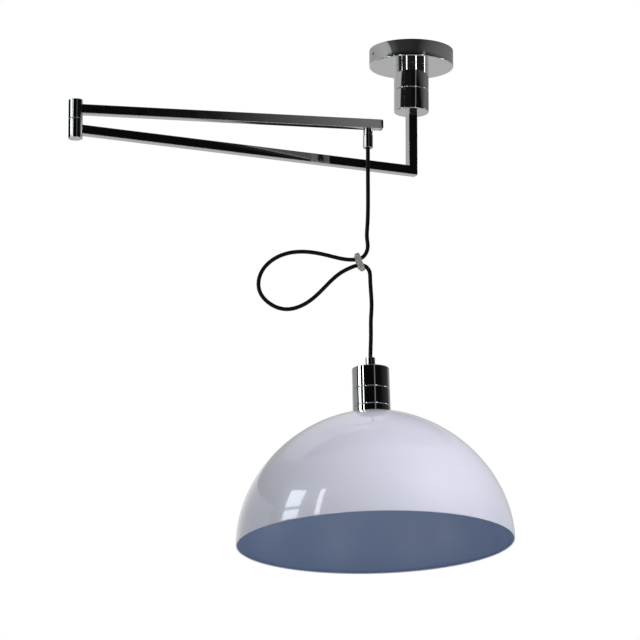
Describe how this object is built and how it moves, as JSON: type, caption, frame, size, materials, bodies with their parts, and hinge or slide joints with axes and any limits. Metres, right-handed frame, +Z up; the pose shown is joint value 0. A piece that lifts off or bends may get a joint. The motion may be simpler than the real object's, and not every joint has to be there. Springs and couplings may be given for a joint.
{
  "type": "ceiling swing-arm pendant lamp",
  "caption": "Ceiling lamp with a round canopy, two folding square-tube arms and a domed shade hung on a cord that a clip gathers into a height-setting loop.",
  "frame": {"origin": "centre of the ceiling face of the mounting plate, on the swivel axis", "axes": "+Z up into the ceiling; -X along the lower arm, from the swivel to the elbow; the upper arm folds back beside it towards -Y"},
  "size_m": [0.652, 0.4099, 0.8031],
  "materials": {
    "chrome": "polished chrome plate",
    "zinc_steel": "bright zinc-plated steel",
    "screw_steel": "nickel-plated steel",
    "brass": "plain turned brass",
    "terminal_plastic": "natural nylon",
    "black_plastic": "black phenolic, satin",
    "cable_sheath": "black PVC sheath",
    "cord_sheath": "smooth black PVC sheath",
    "clip_metal": "dull grey cast metal",
    "white_lacquer": "gloss cool-white lacquer on spun steel",
    "opal_glass": "opal, satin"
  },
  "bodies": {
    "ceiling_mount": {"mounting_plate": "zinc_steel", "bearing_housing": "zinc_steel", "housing_screws": "zinc_steel", "canopy": "chrome", "canopy_screws": "screw_steel", "neck_upper": "chrome", "stop_pin": "screw_steel", "thrust_washer": "brass", "terminal_block": "terminal_plastic", "earth_screw": "brass", "cable_mains": "cable_sheath"},
    "lower_arm": {"spindle": "zinc_steel", "lock_nut": "zinc_steel", "stop_collar": "zinc_steel", "neck_lower": "chrome", "neck_screws": "screw_steel", "post_tube": "chrome", "lower_arm_tube": "chrome", "elbow_lower": "chrome", "elbow_base_cap": "chrome", "elbow_pin": "zinc_steel", "elbow_ring": "screw_steel", "elbow_washer": "black_plastic", "cable_lower": "cable_sheath"},
    "upper_arm": {"elbow_upper": "chrome", "elbow_top_cap": "chrome", "upper_arm_tube": "chrome", "arm_end_cap": "chrome", "gland_nipple": "zinc_steel", "gland_collar": "chrome", "gland_ring": "screw_steel", "cable_upper": "cable_sheath"},
    "gland_turn": {"gland_sleeve": "chrome"},
    "swing_link": {"cord_grip": "black_plastic"},
    "pendant": {"cord_upper": "cord_sheath", "cord_loop": "cord_sheath", "cord_lower": "cord_sheath", "cord_clip": "clip_metal"},
    "shade_drop": {"cup_ferrule": "chrome", "ferrule_screw": "screw_steel", "cup_cap": "chrome", "cup_stem": "zinc_steel", "stem_nut": "zinc_steel", "cord_tail": "cord_sheath", "cup_ring": "chrome", "shade_ring": "chrome", "shade": "white_lacquer", "retaining_ring": "black_plastic", "lampholder_body": "black_plastic", "thread_shell": "brass", "centre_contact": "brass", "bulb_base": "screw_steel", "bulb_glass": "opal_glass"}
  },
  "joints": [
    {"name": "arm_swivel", "type": "hinge", "parent": "ceiling_mount", "child": "lower_arm", "pos_m": [0, 0, -0.06], "axis": [0, 0, 1], "range_deg": [-160, 160]},
    {"name": "elbow_fold", "type": "hinge", "parent": "lower_arm", "child": "upper_arm", "pos_m": [-0.546, 0, -0.1738], "axis": [0, 0, 1], "range_deg": [-340, 10]},
    {"name": "pendant_turn", "type": "hinge", "parent": "upper_arm", "child": "gland_turn", "pos_m": [-0.11882, -0.10334, -0.178], "axis": [0, 0, 1], "range_deg": [-175, 175]},
    {"name": "swing_front", "type": "hinge", "parent": "gland_turn", "child": "swing_link", "pos_m": [-0.11882, -0.10334, -0.1925], "axis": [0.9135, -0.4067, 0], "range_deg": [-12, 12]},
    {"name": "swing_side", "type": "hinge", "parent": "swing_link", "child": "pendant", "pos_m": [-0.11882, -0.10334, -0.1925], "axis": [0.4067, 0.9135, 0], "range_deg": [-12, 12]},
    {"name": "height_adjust", "type": "slide", "parent": "pendant", "child": "shade_drop", "axis": [0, 0, 1], "range_m": [-0.22, 0], "deforming": ["cord_lower", "cord_loop"]}
  ]
}
